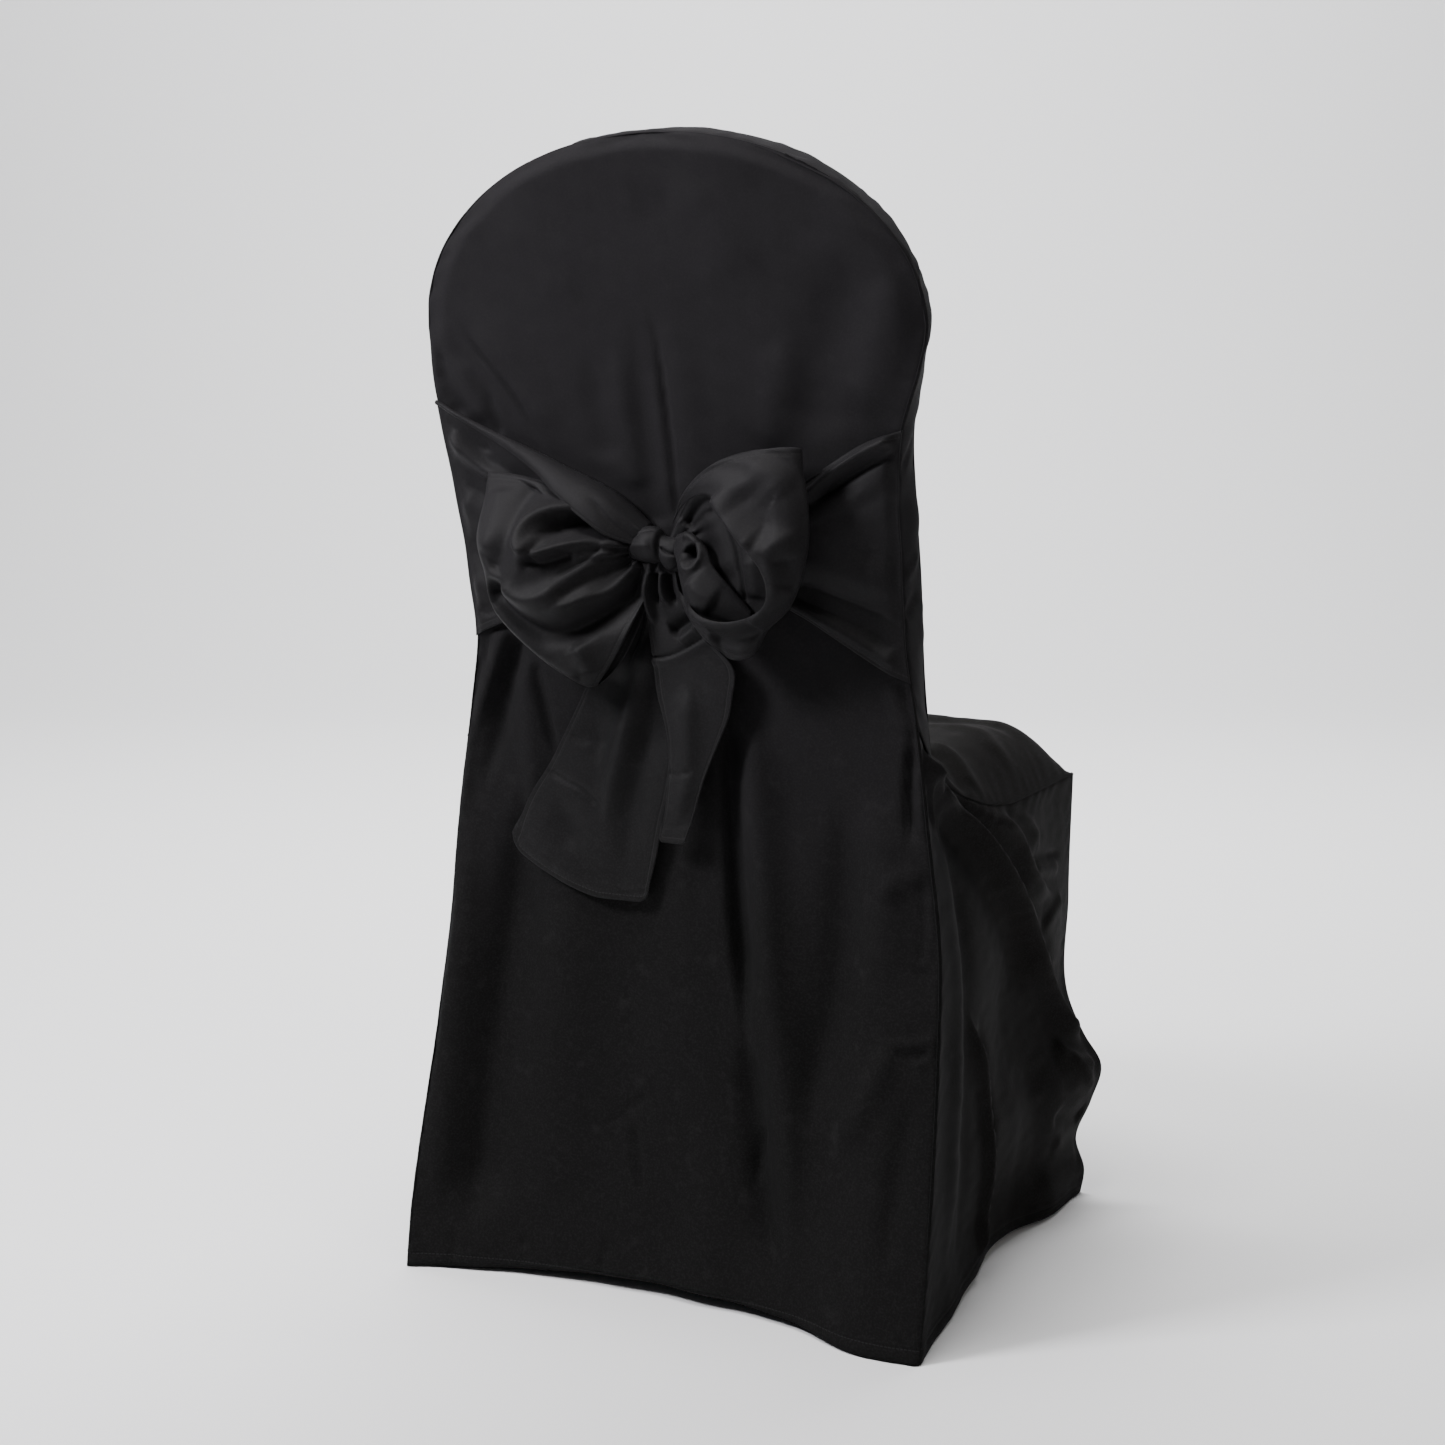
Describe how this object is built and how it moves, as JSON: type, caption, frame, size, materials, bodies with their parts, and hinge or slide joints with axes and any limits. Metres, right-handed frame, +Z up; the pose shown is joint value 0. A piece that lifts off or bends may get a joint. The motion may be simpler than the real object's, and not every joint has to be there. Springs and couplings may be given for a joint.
{
  "type": "fitted chair cover with sash",
  "caption": "Floor-length fitted cover for a round-backed banquet chair, hollow and open at the hem, with a wide sash tied in a bow on the back.",
  "frame": {"origin": "on the floor, under the middle of the cover's bounding box", "axes": "+Z up, +Y towards the back of the chair where the bow is, -Y towards the front of the seat, +X to the left as seen from behind"},
  "size_m": [0.4764, 0.4574, 0.936],
  "materials": {
    "cover_satin": "black satin weave, soft sheen",
    "sash_satin": "black satin weave, soft sheen"
  },
  "bodies": {
    "root": {"rear_panel": "cover_satin", "front_panel": "cover_satin", "boxing_band": "cover_satin", "seat_panel": "cover_satin", "front_skirt": "cover_satin", "side_skirt_left": "cover_satin", "side_skirt_right": "cover_satin", "sash_run_left": "sash_satin", "sash_run_right": "sash_satin", "bow_loop_left": "sash_satin", "bow_loop_right": "sash_satin", "tail_left": "sash_satin", "tail_right": "sash_satin", "bow_knot": "sash_satin"}
  },
  "joints": []
}
